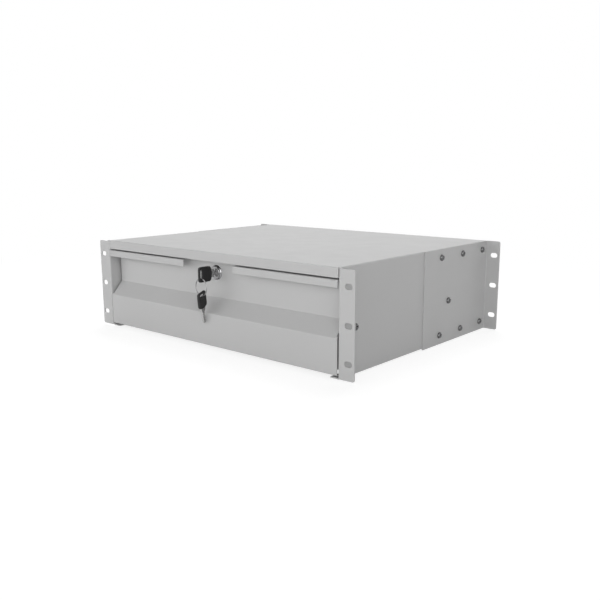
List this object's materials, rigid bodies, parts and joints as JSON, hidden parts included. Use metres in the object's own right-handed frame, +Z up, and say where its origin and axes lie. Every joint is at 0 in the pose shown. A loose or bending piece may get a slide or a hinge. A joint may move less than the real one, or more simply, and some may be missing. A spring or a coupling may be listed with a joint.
{
  "type": "rack drawer",
  "caption": "Lockable folded-steel drawer on telescopic ball slides, in a case with slotted ears and rear brackets for a four-post 19 inch rack",
  "frame": {"origin": "centre of the front hole pattern, on the rear face of the front ears, which lies on the rack's front posts", "axes": "+X across the rack to the right as seen from the front, +Y into the rack, +Z up; the drawer opens along -Y"},
  "size_m": [0.4826, 0.3736, 0.1315],
  "materials": {
    "powder_coat": "satin light grey powder coat",
    "black_nickel": "black nickel plated, smooth",
    "zinc_steel": "bright zinc plated",
    "ball_steel": "polished bearing steel",
    "chrome": "chrome plated die-casting",
    "nickel": "nickel plated brass",
    "spring_steel": "plated spring wire",
    "black_plastic": "moulded, matt black"
  },
  "bodies": {
    "case": {"case_shell": "powder_coat", "lock_strike": "powder_coat", "rear_bracket_left": "powder_coat", "rear_bracket_right": "powder_coat", "bracket_screws_left": "black_nickel", "bracket_screws_right": "black_nickel", "bracket_nuts_left": "zinc_steel", "bracket_nuts_right": "zinc_steel", "rail_case_screws_left": "black_nickel", "rail_case_screws_right": "black_nickel", "slide_outer_left": "zinc_steel", "slide_outer_right": "zinc_steel"},
    "middle_rails": {"slide_middle_left": "zinc_steel", "slide_middle_right": "zinc_steel"},
    "outer_ball_sets": {"outer_cage_left": "zinc_steel", "outer_cage_right": "zinc_steel", "outer_balls_left": "ball_steel", "outer_balls_right": "ball_steel"},
    "inner_ball_sets": {"inner_cage_left": "zinc_steel", "inner_cage_right": "zinc_steel", "inner_balls_left": "ball_steel", "inner_balls_right": "ball_steel"},
    "drawer": {"drawer_front": "powder_coat", "drawer_tray": "powder_coat", "front_studs": "zinc_steel", "front_nuts": "zinc_steel", "lock_barrel": "chrome", "lock_nut": "chrome", "slide_inner_left": "zinc_steel", "slide_inner_right": "zinc_steel", "rail_tray_screws_left": "zinc_steel", "rail_tray_screws_right": "zinc_steel"},
    "lock_core": {"lock_plug": "chrome", "lock_cam": "chrome", "cam_screw": "zinc_steel"},
    "key": {"key_head": "black_plastic", "key_blade": "nickel"},
    "ring": {"key_ring": "spring_steel"},
    "spare_key": {"spare_key_head": "black_plastic", "spare_key_blade": "nickel"}
  },
  "joints": [
    {"name": "drawer_slide", "type": "slide", "parent": "case", "child": "drawer", "axis": [0, -1, 0], "range_m": [0, 0.3]},
    {"name": "middle_slide", "type": "slide", "parent": "case", "child": "middle_rails", "axis": [0, -1, 0], "range_m": [0, 0.15]},
    {"name": "outer_balls_roll", "type": "slide", "parent": "case", "child": "outer_ball_sets", "axis": [0, -1, 0], "range_m": [0, 0.075]},
    {"name": "inner_balls_roll", "type": "slide", "parent": "case", "child": "inner_ball_sets", "axis": [0, -1, 0], "range_m": [0, 0.225]},
    {"name": "lock_turn", "type": "hinge", "parent": "drawer", "child": "lock_core", "pos_m": [0, 0, 0.036], "axis": [0, 1, 0], "range_deg": [0, 90]},
    {"name": "key_pull", "type": "slide", "parent": "lock_core", "child": "key", "axis": [0, -1, 0], "range_m": [0, 0.02]},
    {"name": "ring_hang", "type": "hinge", "parent": "key", "child": "ring", "pos_m": [0, -0.0124, 0.0275], "axis": [0, 1, 0], "range_deg": [-90, 0]},
    {"name": "spare_key_swing", "type": "hinge", "parent": "ring", "child": "spare_key", "pos_m": [-0.00137, -0.01233, 0.00838], "axis": [0.9336, 0.3584, 0], "range_deg": [-30, 0.4]}
  ],
  "couplings": [
    {"joint": "middle_slide", "follows": "drawer_slide", "ratio": 0.5},
    {"joint": "outer_balls_roll", "follows": "drawer_slide", "ratio": 0.25},
    {"joint": "inner_balls_roll", "follows": "drawer_slide", "ratio": 0.75},
    {"joint": "ring_hang", "follows": "lock_turn", "ratio": -1}
  ]
}
